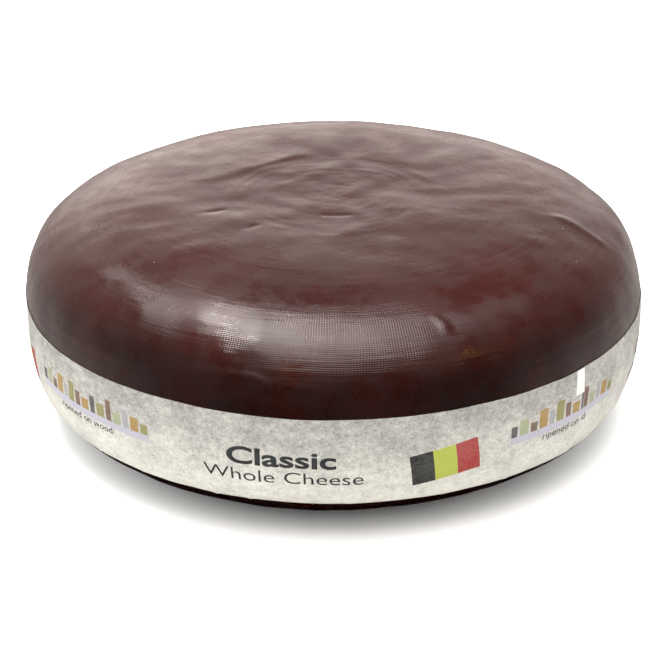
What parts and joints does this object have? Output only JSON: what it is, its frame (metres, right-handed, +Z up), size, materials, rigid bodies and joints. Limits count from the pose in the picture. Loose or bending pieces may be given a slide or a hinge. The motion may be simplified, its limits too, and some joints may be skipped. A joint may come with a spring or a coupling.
{
  "type": "whole wheel of hard cheese",
  "caption": "Whole round of hard cheese with bulging side and flattened faces, in a dark glossy coating, with a printed paper band stuck round its side.",
  "frame": {"origin": "middle of the flat foot that the wheel rests on", "axes": "+Z up along the wheel's axis, -Y towards the front of the printed band"},
  "size_m": [0.3512, 0.3512, 0.122],
  "materials": {
    "coating": "brushed-on semi-gloss cheese coating, mahogany brown",
    "band_paper": "satin paper printed with a mottled grey"
  },
  "bodies": {
    "root": {"cheese_wheel": "coating", "label_band": "band_paper"}
  },
  "joints": []
}
